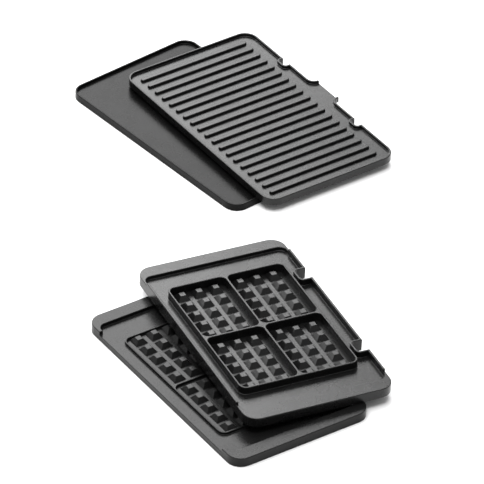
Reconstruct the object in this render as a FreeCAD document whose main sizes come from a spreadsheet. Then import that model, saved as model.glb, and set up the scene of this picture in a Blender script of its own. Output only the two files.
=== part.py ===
"""Interchangeable cooking plates of a contact grill: a plain griddle plate with a ribbed grill plate
lying on it, and a waffle plate with a second waffle plate leaning on it.

Each plate is one die casting. All lengths are millimetres. Every plate is drawn in its own frame, with
X along the long side, Y across it towards the notched side, and Z up from its resting face. Its place
in the set is its body's Placement.
"""
import FreeCAD, Part
import math
import os

import Sketcher

Vector = FreeCAD.Vector
doc = FreeCAD.newDocument("cooking_plates")

# ---------------------------------------------------------------------------------------------------
# Driving dimensions
# ---------------------------------------------------------------------------------------------------

DIMENSIONS = (
    # outline shared by all four plates
    ("plate_length", 300.0, "long side"),
    ("plate_width", 178.0, "short side, without the spout"),
    ("corner_radius", 17.0, "outline corners"),
    ("edge_round", 0.8, "rounding of rims and top edges"),
    ("notch_spacing", 145.0, "between the centres of the two latch notches"),
    ("notch_wall", 2.6, "wall that runs round a notch"),
    ("notch_round", 3.2, "inner corners of a notch"),
    # griddle and grill plates
    ("tray_height", 8.8, "resting face to rim"),
    ("rim_width", 2.4, "rim of the tray"),
    ("rim_rise", 3.6, "rim above the cooking floor"),
    ("tray_notch_length", 13.5, "opening of a latch notch along the side"),
    ("tray_notch_depth", 7.0, "latch notch, in from the side"),
    ("spout_reach", 9.0, "grease spout beyond the side, and the sweep of its sides"),
    ("spout_throat", 60.0, "spout width where it leaves the side"),
    ("tray_floor", 3.2, "metal under the cooking floor"),
    ("rib_count", 19, "grill ribs"),
    ("rib_pitch", 14.65, "between rib centres"),
    ("rib_length", 149.0, "tip to tip"),
    ("rib_width", 6.6, "at the foot"),
    ("rib_height", 2.8, "above the floor"),
    ("rib_draft", 16.0, "slope of the rib sides, degrees"),
    ("rib_shift", 2.0, "ribs sit this much away from the notched side"),
    ("rib_round", 0.9, "rounding of the rib tops"),
    ("rib_tip_flat", 0.02, "flat left between the two round corners of a rib's tip"),
    # waffle plates; the deep casting is the upper one of the pair, the shallow casting the lower
    ("waffle_height", 11.4, "resting face to end flanges"),
    ("moat_drop", 4.5, "moat floor below the end flanges"),
    ("flange_width", 17.5, "end flanges"),
    ("moat_round", 9.0, "inner corners of the moat"),
    ("side_land", 4.5, "strip left at the corners on the open side"),
    ("side_land_end", 28.0, "how far the strip runs in from each end"),
    ("wall_rise", 3.2, "side walls of the deep casting above the end flanges"),
    ("wall_width", 2.6, "walls along the long sides"),
    ("notched_wall_end", 29.0, "plate end to the end of the wall on the notched side"),
    ("back_wall_end", 32.0, "plate end to the end of the wall on the other side"),
    ("waffle_notch_length", 18.0, "opening of a latch notch along the side"),
    ("waffle_notch_depth", 13.5, "latch notch, in from the side"),
    ("block_length", 200.0, "raised waffle form"),
    ("block_width", 143.0, "raised waffle form"),
    ("block_shift", 2.5, "form sits this much away from the notched side"),
    ("block_radius", 9.0, "form corners"),
    ("deep_rise", 4.5, "top of the deep casting's form above the end flanges"),
    ("shallow_rise", 3.0, "top of the shallow casting's form above the moat floor"),
    ("form_wall", 2.2, "outer wall of the form"),
    ("cross_wall", 2.6, "walls between the wells"),
    ("well_radius", 7.0, "well corners"),
    ("well_depth", 10.3, "top of the deep casting's form to its well floor"),
    ("stud_base", 15.4, "waffle stud at its foot"),
    ("stud_height", 5.4, "waffle stud"),
    ("stud_draft", 40.0, "slope of the stud sides, degrees"),
    ("row_first", 12.8, "first stud row from the middle of the form"),
    ("row_pitch", 19.2, "between stud rows"),
    ("row_count", 5, "stud rows in a well"),
    ("column_first", 15.1, "first stud column from the middle of the form"),
    ("column_pitch", 20.35, "between stud columns"),
    ("column_count", 3, "stud columns in a well"),
    ("overlap", 1.0, "how far one shape runs into the next so that they join"),
    # underside
    ("skirt_width", 5.0, "resting skirt round the underside"),
    ("foot_round", 0.6, "rounding where a wall meets a floor"),
    ("waffle_recess", 2.2, "underside recess of a waffle plate"),
    ("track_length", 214.0, "heater contact track, outside"),
    ("track_breadth", 96.0, "heater contact track, outside"),
    ("track_width", 16.0, "heater contact track"),
    ("track_radius", 40.0, "heater contact track corners, outside"),
    # where each plate lies: the middle of its resting face and its turn about Z, in degrees
    ("griddle_x", -27.3, ""),
    ("griddle_y", 235.8, ""),
    ("griddle_turn", -48.85, ""),
    ("grill_x", 28.8, ""),
    ("grill_y", 239.3, ""),
    ("grill_turn", -54.4, ""),
    ("lower_x", 3.2, ""),
    ("lower_y", -229.8, ""),
    ("lower_turn", -55.2, ""),
    ("upper_x", 41.4, ""),
    ("upper_y", -178.0, ""),
    ("upper_turn", -63.9, ""),
    ("rest_gap", 0.3, "air between a plate and the one under it"),
)

sheet = doc.addObject("Spreadsheet::Sheet", "Sizes")
for row, (alias, number, meaning) in enumerate(DIMENSIONS, start=1):
    sheet.set("A%d" % row, alias)
    sheet.set("B%d" % row, str(number))
    sheet.setAlias("B%d" % row, alias)
    sheet.set("C%d" % row, meaning)
doc.recompute()

gauge = doc.addObject("App::FeaturePython", "Gauge")
gauge.addProperty("App::PropertyFloat", "Reading")


def bound(expression):
    """An expression in the sheet's aliases, as FreeCAD wants it: each alias behind the sheet's name."""
    aliases = {alias for alias, _, _ in DIMENSIONS}
    words = expression.replace("(", " ( ").replace(")", " ) ").split()
    return " ".join("Sizes." + word if word in aliases else word for word in words)


def number_of(expression):
    """The present value of an expression in the sheet's aliases."""
    gauge.setExpression("Reading", bound(expression))
    gauge.recompute()
    return gauge.Reading


# ---------------------------------------------------------------------------------------------------
# Sketches and features
# ---------------------------------------------------------------------------------------------------

def new_body(label):
    body = doc.addObject("PartDesign::Body", label)
    body.Label = label
    return body


def new_sketch(body, name, x, y, z):
    """A sketch parallel to the body's XY plane, its origin at x, y, z."""
    plane = next(item for item in body.Origin.OriginFeatures if item.Role == "XY_Plane")
    sketch = body.newObject("Sketcher::SketchObject", name)
    sketch.AttachmentSupport = (plane, [""])
    sketch.MapMode = "FlatFace"
    for axis, expression in zip("xyz", (x, y, z)):
        sketch.setExpression("AttachmentOffset.Base." + axis, bound(expression))
    return sketch


def bind(sketch, name, constraint, expression):
    index = sketch.addConstraint(constraint)
    sketch.renameConstraint(index, name)
    sketch.setExpression("Constraints." + name, bound(expression))


def join_ends(sketch, count, smooth):
    """Close a loop of edges, each end on the next one's start, tangent where smooth."""
    for index in range(count):
        kind = "Tangent" if smooth else "Coincident"
        sketch.addConstraint(Sketcher.Constraint(kind, index, 2, (index + 1) % count, 1))


def arc(centre_x, centre_y, radius, start):
    """A quarter arc, anticlockwise from the start angle in degrees."""
    circle = Part.Circle(Vector(centre_x, centre_y, 0), Vector(0, 0, 1), radius)
    return Part.ArcOfCircle(circle, math.radians(start), math.radians(start + 90))


def line(start, end):
    return Part.LineSegment(Vector(start[0], start[1], 0), Vector(end[0], end[1], 0))


def rounded_rectangle(body, name, length, width, radius, x="0", y="0", z="0"):
    """A rectangle with round corners about x, y at height z."""
    half_x = number_of(length) / 2
    half_y = number_of(width) / 2
    corner = number_of(radius)
    inner_x = half_x - corner
    inner_y = half_y - corner
    sketch = new_sketch(body, name, x, y, z)
    sketch.addGeometry([
        line((-inner_x, -half_y), (inner_x, -half_y)),
        arc(inner_x, -inner_y, corner, -90),
        line((half_x, -inner_y), (half_x, inner_y)),
        arc(inner_x, inner_y, corner, 0),
        line((inner_x, half_y), (-inner_x, half_y)),
        arc(-inner_x, inner_y, corner, 90),
        line((-half_x, inner_y), (-half_x, -inner_y)),
        arc(-inner_x, -inner_y, corner, 180),
    ], False)
    join_ends(sketch, 8, smooth=True)
    for index in (0, 4):
        sketch.addConstraint(Sketcher.Constraint("Horizontal", index))
    for index in (2, 6):
        sketch.addConstraint(Sketcher.Constraint("Vertical", index))
    for index in (3, 5, 7):
        sketch.addConstraint(Sketcher.Constraint("Equal", 1, index))
    sketch.addConstraint(Sketcher.Constraint("Symmetric", 0, 1, 4, 1, -1, 1))
    bind(sketch, "corner", Sketcher.Constraint("Radius", 1, corner), radius)
    bind(sketch, "across", Sketcher.Constraint("DistanceX", 6, 1, 2, 1, 2 * half_x), length)
    bind(sketch, "along", Sketcher.Constraint("DistanceY", 0, 1, 4, 1, 2 * half_y), width)
    return sketch


def rectangle(body, name, length, width, x="0", y="0", z="0"):
    """A plain rectangle about x, y at height z."""
    half_x = number_of(length) / 2
    half_y = number_of(width) / 2
    corners = [(-half_x, -half_y), (half_x, -half_y), (half_x, half_y), (-half_x, half_y)]
    sketch = new_sketch(body, name, x, y, z)
    sketch.addGeometry([line(corners[i], corners[(i + 1) % 4]) for i in range(4)], False)
    join_ends(sketch, 4, smooth=False)
    for index in (0, 2):
        sketch.addConstraint(Sketcher.Constraint("Horizontal", index))
    for index in (1, 3):
        sketch.addConstraint(Sketcher.Constraint("Vertical", index))
    sketch.addConstraint(Sketcher.Constraint("Symmetric", 0, 1, 2, 1, -1, 1))
    bind(sketch, "across", Sketcher.Constraint("DistanceX", 0, 1, 0, 2, 2 * half_x), length)
    bind(sketch, "along", Sketcher.Constraint("DistanceY", 1, 1, 1, 2, 2 * half_y), width)
    return sketch


def niche(body, name, length, depth, radius, x, y, z):
    """A slot from its open side at y inwards by depth, its two inner corners round."""
    half = number_of(length) / 2
    deep = number_of(depth)
    corner = number_of(radius)
    sketch = new_sketch(body, name, x, y, z)
    sketch.addGeometry([
        line((half, 0), (-half, 0)),
        line((-half, 0), (-half, corner - deep)),
        arc(corner - half, corner - deep, corner, 180),
        line((corner - half, -deep), (half - corner, -deep)),
        arc(half - corner, corner - deep, corner, -90),
        line((half, corner - deep), (half, 0)),
    ], False)
    for index in (1, 2, 3, 4):
        sketch.addConstraint(Sketcher.Constraint("Tangent", index, 2, index + 1, 1))
    for index in (5, 0):
        sketch.addConstraint(Sketcher.Constraint("Coincident", index, 2, (index + 1) % 6, 1))
    sketch.addConstraint(Sketcher.Constraint("Symmetric", 0, 1, 0, 2, -1, 1))
    sketch.addConstraint(Sketcher.Constraint("Horizontal", 0))
    sketch.addConstraint(Sketcher.Constraint("Vertical", 1))
    sketch.addConstraint(Sketcher.Constraint("Vertical", 5))
    sketch.addConstraint(Sketcher.Constraint("Equal", 2, 4))
    bind(sketch, "corner", Sketcher.Constraint("Radius", 2, corner), radius)
    bind(sketch, "opening", Sketcher.Constraint("DistanceX", 0, 2, 0, 1, 2 * half), length)
    bind(sketch, "inwards", Sketcher.Constraint("DistanceY", 3, 1, 0, 2, deep), depth)
    return sketch


def swept_spout(body, name, throat, sweep, root, y, z):
    """A spout from its throat at y outwards, each side a quarter arc that leaves along X, with a root."""
    half = number_of(throat) / 2
    radius = number_of(sweep)
    back = number_of(root)
    sketch = new_sketch(body, name, "0", y, z)
    sketch.addGeometry([
        line((-half, -back), (half, -back)),
        line((half, -back), (half, 0)),
        arc(half, radius, radius, 180),
        line((half - radius, radius), (radius - half, radius)),
        arc(-half, radius, radius, 270),
        line((-half, 0), (-half, -back)),
    ], False)
    joints = ((0, 2, 1, 1), (1, 2, 2, 2), (2, 1, 3, 1), (3, 2, 4, 2), (4, 1, 5, 1), (5, 2, 0, 1))
    for first, first_end, second, second_end in joints:
        sketch.addConstraint(
            Sketcher.Constraint("Coincident", first, first_end, second, second_end))
    for index in (0, 3):
        sketch.addConstraint(Sketcher.Constraint("Horizontal", index))
    for index in (1, 5):
        sketch.addConstraint(Sketcher.Constraint("Vertical", index))
    for index in (2, 4):
        throat_end = 2 if index == 2 else 1
        sketch.addConstraint(Sketcher.Constraint("Vertical", index, 3, index, throat_end))
        sketch.addConstraint(Sketcher.Constraint("Horizontal", index, 3, index, 3 - throat_end))
    sketch.addConstraint(Sketcher.Constraint("Symmetric", 1, 2, 5, 1, -1, 1))
    sketch.addConstraint(Sketcher.Constraint("Equal", 2, 4))
    bind(sketch, "sweep", Sketcher.Constraint("Radius", 2, radius), sweep)
    bind(sketch, "throat", Sketcher.Constraint("DistanceX", 0, 1, 0, 2, 2 * half), throat)
    bind(sketch, "root", Sketcher.Constraint("DistanceY", 0, 2, 1, 2, back), root)
    return sketch


def pad(body, sketch, height, draft=None):
    """Raise the sketch by height, its sides leaning in by the draft where one is given."""
    feature = body.newObject("PartDesign::Pad", sketch.Name + "_pad")
    feature.Profile = sketch
    feature.setExpression("Length", bound(height))
    if draft:
        feature.setExpression("TaperAngle", bound("0 - " + draft))
    doc.recompute()
    return feature


def pocket(body, sketch, depth, upward=False):
    """Cut the sketch down by depth, or up where it is drawn on the resting face."""
    before = body.Shape.Volume
    feature = body.newObject("PartDesign::Pocket", sketch.Name + "_pocket")
    feature.Profile = sketch
    feature.Reversed = upward
    feature.setExpression("Length", bound(depth))
    doc.recompute()
    if body.Shape.Volume > before - 1:
        raise RuntimeError(feature.Name + " cuts nothing")
    return feature


def row_of(body, feature, length, count, axis="H_Axis"):
    """Repeat a feature along its own sketch's axis, count times over length."""
    pattern = body.newObject("PartDesign::LinearPattern", feature.Name + "_row")
    pattern.Originals = [feature]
    pattern.Direction = (feature.Profile[0], [axis])
    pattern.setExpression("Length", bound(length))
    pattern.setExpression("Occurrences", bound(count))
    body.Tip = pattern
    doc.recompute()
    return pattern


def grid_of(body, feature, steps):
    """Repeat a feature along both axes of its sketch, once for each (axis, length, count)."""
    grid = body.newObject("PartDesign::MultiTransform", feature.Name + "_grid")
    patterns = []
    for index, (axis, length, count) in enumerate(steps):
        pattern = body.newObject("PartDesign::LinearPattern", "%s_step_%d" % (grid.Name, index))
        pattern.Direction = (feature.Profile[0], [axis])
        pattern.setExpression("Length", bound(length))
        pattern.setExpression("Occurrences", bound(count))
        patterns.append(pattern)
    grid.Originals = [feature]
    grid.Transformations = patterns
    body.Tip = grid
    doc.recompute()
    return grid


def round_edges(body, name, radius, wanted):
    """Fillet the edges that wanted(edge) picks."""
    base = body.Tip
    names = ["Edge%d" % (i + 1) for i, edge in enumerate(base.Shape.Edges) if wanted(edge)]
    fillet = body.newObject("PartDesign::Fillet", name)
    fillet.Base = (base, names)
    fillet.setExpression("Radius", bound(radius))
    doc.recompute()
    if not fillet.isValid():
        raise RuntimeError(name + " failed on %d edges" % len(names))
    return fillet


def flat_at(*expressions):
    """Picks the edges that lie wholly at one of these heights."""
    heights = [number_of(expression) for expression in expressions]

    def wanted(edge):
        box = edge.BoundBox
        flat = box.ZMax - box.ZMin < 1e-4
        return flat and any(abs(box.ZMax - height) < 1e-4 for height in heights)
    return wanted


def flange_edge():
    """Picks the edges of the end flanges' tops, except where a side wall stands on them."""
    at_top = flat_at("waffle_height")
    wall_face = number_of("plate_width / 2 - 2 * wall_width")
    flange_face = number_of("plate_length / 2 - flange_width / 2")

    def wanted(edge):
        middle = edge.BoundBox.Center
        under_wall = abs(middle.y) > wall_face and abs(middle.x) < flange_face
        return at_top(edge) and not under_wall
    return wanted


def form_foot():
    """Picks the edges where the waffle form stands on the moat floor."""
    at_floor = flat_at("waffle_height - moat_drop")
    reach_x = number_of("block_length / 2 + overlap")
    reach_y = number_of("block_width / 2 + overlap")
    middle_y = number_of("0 - block_shift")

    def wanted(edge):
        centre_of_edge = edge.BoundBox.Center
        inside = abs(centre_of_edge.x) < reach_x and abs(centre_of_edge.y - middle_y) < reach_y
        return at_floor(edge) and inside
    return wanted


# ---------------------------------------------------------------------------------------------------
# Parts of a plate
# ---------------------------------------------------------------------------------------------------

def add_notch_walls(body, length, depth, base, height):
    """Two blocks of metal on the notched side that the latch notches are cut into."""
    sketch = niche(
        body, body.Label + "_notch_wall", length + " + 2 * notch_wall", depth + " + notch_wall",
        "notch_round + notch_wall", "0 - notch_spacing / 2", "plate_width / 2", base)
    row_of(body, pad(body, sketch, height), "notch_spacing", "2")


def cut_notches(body, length, depth, top):
    """The two latch notches, right through the plate and open to the side."""
    sketch = niche(
        body, body.Label + "_notch", length, depth, "notch_round", "0 - notch_spacing / 2",
        "plate_width / 2", top)
    row_of(body, pocket(body, sketch, top), "notch_spacing", "2")


def hollow_underside(body, notch_depth, depth):
    """Recess inside the resting skirt, with the heater contact track left standing in it."""
    notch_room = notch_depth + " + notch_wall"
    middle = "0 - ( " + notch_room + " ) / 2"
    recess = rounded_rectangle(
        body, body.Label + "_recess", "plate_length - 2 * skirt_width",
        "plate_width - 2 * skirt_width - " + notch_depth + " - notch_wall",
        "corner_radius - skirt_width", y=middle)
    pocket(body, recess, depth, upward=True)
    track = rounded_rectangle(
        body, body.Label + "_track", "track_length", "track_breadth", "track_radius", y=middle)
    pad(body, track, depth)
    inside = rounded_rectangle(
        body, body.Label + "_track_inside", "track_length - 2 * track_width",
        "track_breadth - 2 * track_width", "track_radius - track_width", y=middle)
    pocket(body, inside, depth, upward=True)


def make_tray_plate(label, ribbed):
    """A rimmed tray with a grease spout, plain or ribbed."""
    body = new_body(label)
    outline = rounded_rectangle(
        body, label + "_outline", "plate_length", "plate_width", "corner_radius")
    pad(body, outline, "tray_height")
    spout = swept_spout(
        body, label + "_spout", "spout_throat", "spout_reach", "overlap",
        "plate_width / 2", "tray_height - rim_rise - tray_floor")
    pad(body, spout, "rim_rise + tray_floor")
    tray = rounded_rectangle(
        body, label + "_tray", "plate_length - 2 * rim_width", "plate_width - 2 * rim_width",
        "corner_radius - rim_width", z="tray_height")
    pocket(body, tray, "rim_rise")
    channel = swept_spout(
        body, label + "_channel", "spout_throat", "spout_reach + rim_width", "overlap",
        "plate_width / 2 - rim_width", "tray_height")
    pocket(body, channel, "rim_rise")
    add_notch_walls(body, "tray_notch_length", "tray_notch_depth",
                    "tray_height - rim_rise - overlap", "rim_rise + overlap")
    cut_notches(body, "tray_notch_length", "tray_notch_depth", "tray_height")
    round_edges(body, label + "_rim_round", "edge_round", flat_at("tray_height"))
    round_edges(body, label + "_foot_round", "foot_round", flat_at("tray_height - rim_rise"))
    if ribbed:
        rib = rounded_rectangle(
            body, label + "_rib", "rib_width", "rib_length", "( rib_width - rib_tip_flat ) / 2",
            "0 - rib_pitch * ( rib_count - 1 ) / 2", "0 - rib_shift", "tray_height - rim_rise")
        row_of(body, pad(body, rib, "rib_height", "rib_draft"),
               "rib_pitch * ( rib_count - 1 )", "rib_count")
        round_edges(body, label + "_rib_round", "rib_round",
                    flat_at("tray_height - rim_rise + rib_height"))
    hollow_underside(body, "tray_notch_depth", "tray_height - rim_rise - tray_floor")
    return body


def add_side_wall(body, side, end, y):
    """A raised wall along one long side, at y, that stops short of the plate's ends by end."""
    wall = rectangle(
        body, body.Label + side, "plate_length - 2 * " + end, "wall_width", y=y, z="waffle_height")
    pad(body, wall, "wall_rise")


def make_deep_base(body):
    """A dished plate with raised end flanges and a wall along each long side."""
    label = body.Label
    add_side_wall(body, "_notched_wall", "notched_wall_end", "( plate_width - wall_width ) / 2")
    add_side_wall(body, "_back_wall", "back_wall_end", "( wall_width - plate_width ) / 2")
    moat = rounded_rectangle(
        body, label + "_moat", "plate_length - 2 * flange_width", "plate_width - 2 * wall_width",
        "moat_round", z="waffle_height")
    pocket(body, moat, "moat_drop")
    add_notch_walls(body, "waffle_notch_length", "waffle_notch_depth",
                    "waffle_height - moat_drop - overlap", "moat_drop + wall_rise + overlap")
    cut_notches(body, "waffle_notch_length", "waffle_notch_depth", "waffle_height + wall_rise")
    round_edges(body, label + "_flange_round", "edge_round", flange_edge())


def make_shallow_base(body):
    """A dished plate with raised end flanges, walled on the notched side and open on the other."""
    label = body.Label
    moat = rounded_rectangle(
        body, label + "_moat", "plate_length - 2 * flange_width",
        "plate_width - side_land - wall_width", "moat_round",
        y="( side_land - wall_width ) / 2", z="waffle_height")
    pocket(body, moat, "moat_drop")
    open_side = rectangle(
        body, label + "_open_side", "plate_length - 2 * side_land_end", "2 * side_land + 2 * overlap",
        y="0 - plate_width / 2", z="waffle_height")
    pocket(body, open_side, "moat_drop")
    add_notch_walls(body, "waffle_notch_length", "waffle_notch_depth",
                    "waffle_height - moat_drop - overlap", "moat_drop + overlap")
    cut_notches(body, "waffle_notch_length", "waffle_notch_depth", "waffle_height")
    round_edges(body, label + "_flange_round", "edge_round", flat_at("waffle_height"))


def add_form(body, top, well_depth):
    """The waffle form: a raised rim round four wells, with its top edges and foot rounded."""
    label = body.Label
    form = rounded_rectangle(
        body, label + "_form", "block_length", "block_width", "block_radius",
        y="0 - block_shift", z="waffle_height - moat_drop - overlap")
    pad(body, form, top + " - waffle_height + moat_drop + overlap")
    round_edges(body, label + "_foot_round", "foot_round", form_foot())
    well_length = "( block_length - 2 * form_wall - cross_wall ) / 2"
    well_width = "( block_width - 2 * form_wall - cross_wall ) / 2"
    well = rounded_rectangle(
        body, label + "_well", well_length, well_width, "well_radius",
        "0 - ( " + well_length + " + cross_wall ) / 2",
        "0 - block_shift - ( " + well_width + " + cross_wall ) / 2", top)
    grid_of(body, pocket(body, well, well_depth),
            (("H_Axis", well_length + " + cross_wall", "2"),
             ("V_Axis", well_width + " + cross_wall", "2")))


def add_studs(body, floor):
    """The grid of blunt pyramids that stand on the floor of each well."""
    stud = rectangle(
        body, body.Label + "_stud", "stud_base", "stud_base",
        "0 - row_first - row_pitch * ( row_count - 1 )",
        "0 - block_shift - column_first - column_pitch * ( column_count - 1 )", floor)
    grid_of(body, pad(body, stud, "stud_height", "stud_draft"),
            (("H_Axis", "row_pitch * ( row_count - 1 )", "row_count"),
             ("V_Axis", "column_pitch * ( column_count - 1 )", "column_count"),
             ("H_Axis", "2 * row_first + row_pitch * ( row_count - 1 )", "2"),
             ("V_Axis", "2 * column_first + column_pitch * ( column_count - 1 )", "2")))


def make_waffle_plate(label, deep):
    """A four-well waffle plate, the deep casting or the shallow one."""
    body = new_body(label)
    outline = rounded_rectangle(
        body, label + "_outline", "plate_length", "plate_width", "corner_radius")
    pad(body, outline, "waffle_height")
    if deep:
        make_deep_base(body)
        top = "waffle_height + deep_rise"
        well_depth = "well_depth"
        rims = flat_at("waffle_height + wall_rise", top)
    else:
        make_shallow_base(body)
        top = "waffle_height - moat_drop + shallow_rise"
        well_depth = "shallow_rise"
        rims = flat_at(top)
    round_edges(body, label + "_moat_round", "foot_round", flat_at("waffle_height - moat_drop"))
    add_form(body, top, well_depth)
    round_edges(body, label + "_top_round", "edge_round", rims)
    add_studs(body, top + " - " + well_depth)
    hollow_underside(body, "waffle_notch_depth", "waffle_recess")
    return body


# ---------------------------------------------------------------------------------------------------
# The set
# ---------------------------------------------------------------------------------------------------

def lie_flat(body, place, height):
    """Put the body's resting face at a height, at its place in the sheet."""
    spot = Vector(sheet.get(place + "_x"), sheet.get(place + "_y"), height)
    turn = FreeCAD.Rotation(Vector(0, 0, 1), sheet.get(place + "_turn"))
    body.Placement = FreeCAD.Placement(spot, turn)


def lean_on_studs(body, place, under):
    """Lay the body on the outermost studs and the notched wall of the plate under it."""
    stud_top = number_of("stud_base / 2") - number_of("stud_height") * math.tan(
        math.radians(number_of("stud_draft")))
    edge_y = stud_top + number_of("column_first + column_pitch * ( column_count - 1 ) - block_shift")
    edge_z = number_of("waffle_height - moat_drop + stud_height")
    drop = number_of("stud_height - moat_drop")
    lean = math.atan2(drop, number_of("plate_width / 2") - edge_y)
    lie_flat(body, place, 0)
    out = under.Placement.inverse().multVec(body.Placement.Base).y - edge_y
    rise = edge_z + sheet.get("rest_gap") / math.cos(lean) - out * math.tan(lean)
    axis = under.Placement.Rotation.multVec(Vector(1, 0, 0))
    tilt = FreeCAD.Rotation(axis, -math.degrees(lean))
    spot = body.Placement.Base + Vector(0, 0, rise)
    body.Placement = FreeCAD.Placement(spot, tilt.multiply(body.Placement.Rotation))


def centre(bodies):
    """Shift the set so that its box stands centred on the origin."""
    shapes = Part.makeCompound([body.Shape for body in bodies])
    box = shapes.optimalBoundingBox(True, False)
    shift = Vector(-box.Center.x, -box.Center.y, -box.ZMin)
    for body in bodies:
        body.Placement.Base = body.Placement.Base + shift


griddle = make_tray_plate("griddle_plate", ribbed=False)
grill = make_tray_plate("grill_plate", ribbed=True)
lower = make_waffle_plate("lower_waffle_plate", deep=False)
upper = make_waffle_plate("upper_waffle_plate", deep=True)
plates = (griddle, grill, lower, upper)

lie_flat(griddle, "griddle", 0)
lie_flat(grill, "grill", number_of("tray_height + rest_gap"))
lie_flat(lower, "lower", 0)
lean_on_studs(upper, "upper", lower)
doc.removeObject(gauge.Name)
doc.recompute()
centre(plates)
doc.recompute()

for item in doc.Objects:
    if "Invalid" in item.State or "Error" in item.State:
        raise RuntimeError(item.Name + " failed: " + ", ".join(item.State))
for plate in plates:
    if plate.Shape.isNull() or not plate.Shape.isValid() or len(plate.Shape.Solids) != 1:
        raise RuntimeError(plate.Label + " is not one valid solid")

os.makedirs("parts", exist_ok=True)
for plate in plates:
    plate.Shape.exportStep("parts/" + plate.Label + ".step")
    box = plate.Shape.optimalBoundingBox(True, False)
    print(plate.Label, round(plate.Shape.Volume), box)
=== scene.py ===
"""Looks of the cooking plate set: non-stick coating, studio floor, soft light and the camera."""
import bpy
import math
from mathutils import Matrix, Vector

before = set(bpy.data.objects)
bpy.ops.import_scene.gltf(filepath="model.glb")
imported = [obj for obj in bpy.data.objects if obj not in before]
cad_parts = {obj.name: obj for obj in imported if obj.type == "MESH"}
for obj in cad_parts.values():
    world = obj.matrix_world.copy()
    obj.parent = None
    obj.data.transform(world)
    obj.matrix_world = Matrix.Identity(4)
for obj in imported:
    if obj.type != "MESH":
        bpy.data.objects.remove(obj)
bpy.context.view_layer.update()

# Camera: long lens, standing back along -Y and looking down at the set.
CAMERA_HEIGHT = 3.994
CAMERA_BACK = 5.4576
CAMERA_SIDE = 0.0161
CAMERA_PITCH = math.radians(36.16)
CAMERA_ROLL = math.radians(1.95)
CAMERA_LENS = 446.3
SENSOR_WIDTH = 36.0
FAR_CLIP = 50.0

# Softboxes: name, place, the place they face, size across and along, power in watts.
SOFTBOXES = (
    ("back_softbox", (-1.0, 2.6, 1.95), (-0.1, 0, 0), (2.6, 2.0), 125),
    ("top_softbox", (-0.2, -0.1, 2.4), (0, 0, 0), (2.2, 2.2), 88),
    ("left_softbox", (-2.7, 1.1, 0.85), (0, 0, 0), (1.3, 0.8), 9),
)
WHITE = (1.0, 1.0, 1.0, 1.0)
ROOM_STRENGTH = 0.5

# Floor: matt white paper, large enough to have no edge in view.
FLOOR_HALF_SIZE = 30.0
FLOOR_GREY = 0.86
FLOOR_ROUGHNESS = 0.9
FLOOR_SPECULAR = 0.1

# Coating: soft mottling of tone and gloss, and a fine grain.
MOTTLE_SCALE = 45.0
MOTTLE_DETAIL = 3.0
MOTTLE_TONE = (0.7, 1.4)
MOTTLE_ROUGHNESS = (0.22, 0.32)
GRAIN_SCALE = 1400.0
GRAIN_DETAIL = 2.0
GRAIN_STRENGTH = 0.45
GRAIN_HEIGHT = 0.00012

# Each plate's coating: node, material, base grey, specular level. The base grey and specular
# level differ between plates as painted shade and painted sheen: the one coating is dulled on
# the griddle and made brightest on the upper waffle plate, standing in for how the light falls
# on each.
COATINGS_AND_PAINTED_SHEEN = (
    ("griddle_plate", "griddle_coating", 0.003, 0.09),
    ("grill_plate", "grill_coating", 0.003, 0.31),
    ("lower_waffle_plate", "lower_waffle_coating", 0.005, 0.19),
    ("upper_waffle_plate", "upper_waffle_coating", 0.004, 0.34),
)


def look_at(obj, target):
    """Point an object's -Z axis at a place."""
    aim = Vector(target) - obj.location
    obj.rotation_euler = aim.to_track_quat("-Z", "Y").to_euler()


def add_camera():
    data = bpy.data.cameras.new("camera")
    data.lens = CAMERA_LENS
    data.sensor_width = SENSOR_WIDTH
    data.clip_end = FAR_CLIP
    camera = bpy.data.objects.new("camera", data)
    bpy.context.scene.collection.objects.link(camera)
    pitch = Matrix.Rotation(math.pi / 2 - CAMERA_PITCH, 4, "X")
    roll = Matrix.Rotation(CAMERA_ROLL, 4, "Z")
    place = Matrix.Translation((CAMERA_SIDE, -CAMERA_BACK, CAMERA_HEIGHT))
    camera.matrix_world = place @ pitch @ roll
    bpy.context.scene.camera = camera


def add_area_light(name, place, target, size, power):
    data = bpy.data.lights.new(name, "AREA")
    data.shape = "RECTANGLE"
    data.size = size[0]
    data.size_y = size[1]
    data.energy = power
    lamp = bpy.data.objects.new(name, data)
    lamp.location = place
    look_at(lamp, target)
    bpy.context.scene.collection.objects.link(lamp)


def add_lights():
    """Softboxes behind, overhead and low on the left, and an even room light."""
    for name, place, target, size, power in SOFTBOXES:
        add_area_light(name, place, target, size, power)
    world = bpy.data.worlds.new("room")
    world.use_nodes = True
    room = world.node_tree.nodes["Background"]
    room.inputs["Color"].default_value = WHITE
    room.inputs["Strength"].default_value = ROOM_STRENGTH
    bpy.context.scene.world = world


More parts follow.
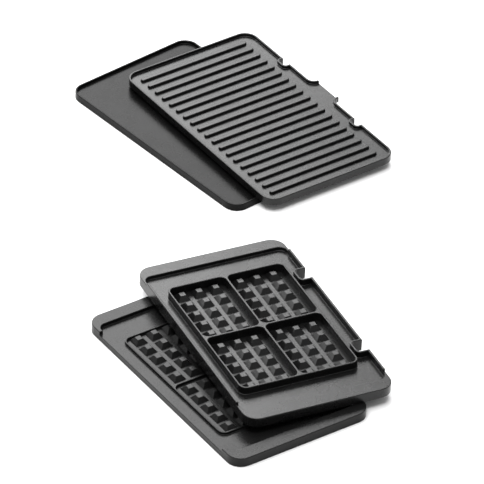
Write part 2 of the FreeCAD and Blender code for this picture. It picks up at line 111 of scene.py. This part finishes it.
def add_floor():
    mesh = bpy.data.meshes.new("floor")
    reach = FLOOR_HALF_SIZE
    corners = [(-reach, -reach, 0), (reach, -reach, 0), (reach, reach, 0), (-reach, reach, 0)]
    mesh.from_pydata(corners, [], [(0, 1, 2, 3)])
    floor = bpy.data.objects.new("floor", mesh)
    bpy.context.scene.collection.objects.link(floor)
    material = bpy.data.materials.new("floor_paper")
    material.use_nodes = True
    shader = material.node_tree.nodes["Principled BSDF"]
    shader.inputs["Base Color"].default_value = (FLOOR_GREY, FLOOR_GREY, FLOOR_GREY, 1.0)
    shader.inputs["Roughness"].default_value = FLOOR_ROUGHNESS
    shader.inputs["Specular IOR Level"].default_value = FLOOR_SPECULAR
    mesh.materials.append(material)


def add_noise(nodes, links, where, scale, detail):
    """A noise that stays with the piece."""
    noise = nodes.new("ShaderNodeTexNoise")
    noise.inputs["Scale"].default_value = scale
    noise.inputs["Detail"].default_value = detail
    links.new(where.outputs["Object"], noise.inputs["Vector"])
    return noise


def spread(nodes, links, noise, low, high, socket):
    """Drive a socket with the noise, between low and high."""
    band = nodes.new("ShaderNodeMapRange")
    band.inputs["To Min"].default_value = low
    band.inputs["To Max"].default_value = high
    links.new(noise.outputs["Fac"], band.inputs["Value"])
    links.new(band.outputs["Result"], socket)


def coating(name, tone_and_painted_shade, gloss_and_painted_sheen):
    """Satin non-stick coating on cast aluminium; the base grey and specular level given for each
    plate carry painted shade and painted sheen.
    """
    material = bpy.data.materials.new(name)
    material.use_nodes = True
    nodes = material.node_tree.nodes
    links = material.node_tree.links
    shader = nodes["Principled BSDF"]
    where = nodes.new("ShaderNodeTexCoord")

    mottle = add_noise(nodes, links, where, MOTTLE_SCALE, MOTTLE_DETAIL)
    grain = add_noise(nodes, links, where, GRAIN_SCALE, GRAIN_DETAIL)
    darkest, lightest = MOTTLE_TONE
    # Base grey, mottled at random; how it differs between plates is painted shade.
    spread(nodes, links, mottle, tone_and_painted_shade * darkest, tone_and_painted_shade * lightest, shader.inputs["Base Color"])
    smoothest, roughest = MOTTLE_ROUGHNESS
    spread(nodes, links, mottle, smoothest, roughest, shader.inputs["Roughness"])

    bump = nodes.new("ShaderNodeBump")
    bump.inputs["Strength"].default_value = GRAIN_STRENGTH
    bump.inputs["Distance"].default_value = GRAIN_HEIGHT
    links.new(grain.outputs["Fac"], bump.inputs["Height"])
    links.new(bump.outputs["Normal"], shader.inputs["Normal"])
    # Specular level: the coating's gloss, with painted sheen in how it differs between plates.
    shader.inputs["Specular IOR Level"].default_value = gloss_and_painted_sheen
    return material


def dress(node, material):
    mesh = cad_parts[node].data
    mesh.materials.clear()
    mesh.materials.append(material)


add_camera()
add_lights()
add_floor()
bpy.context.scene.view_settings.view_transform = "Standard"
# Each plate gets its own copy of the coating, with its own painted shade and painted sheen.
for node, material_name, tone_and_painted_shade, gloss_and_painted_sheen in COATINGS_AND_PAINTED_SHEEN:
    dress(node, coating(material_name, tone_and_painted_shade, gloss_and_painted_sheen))
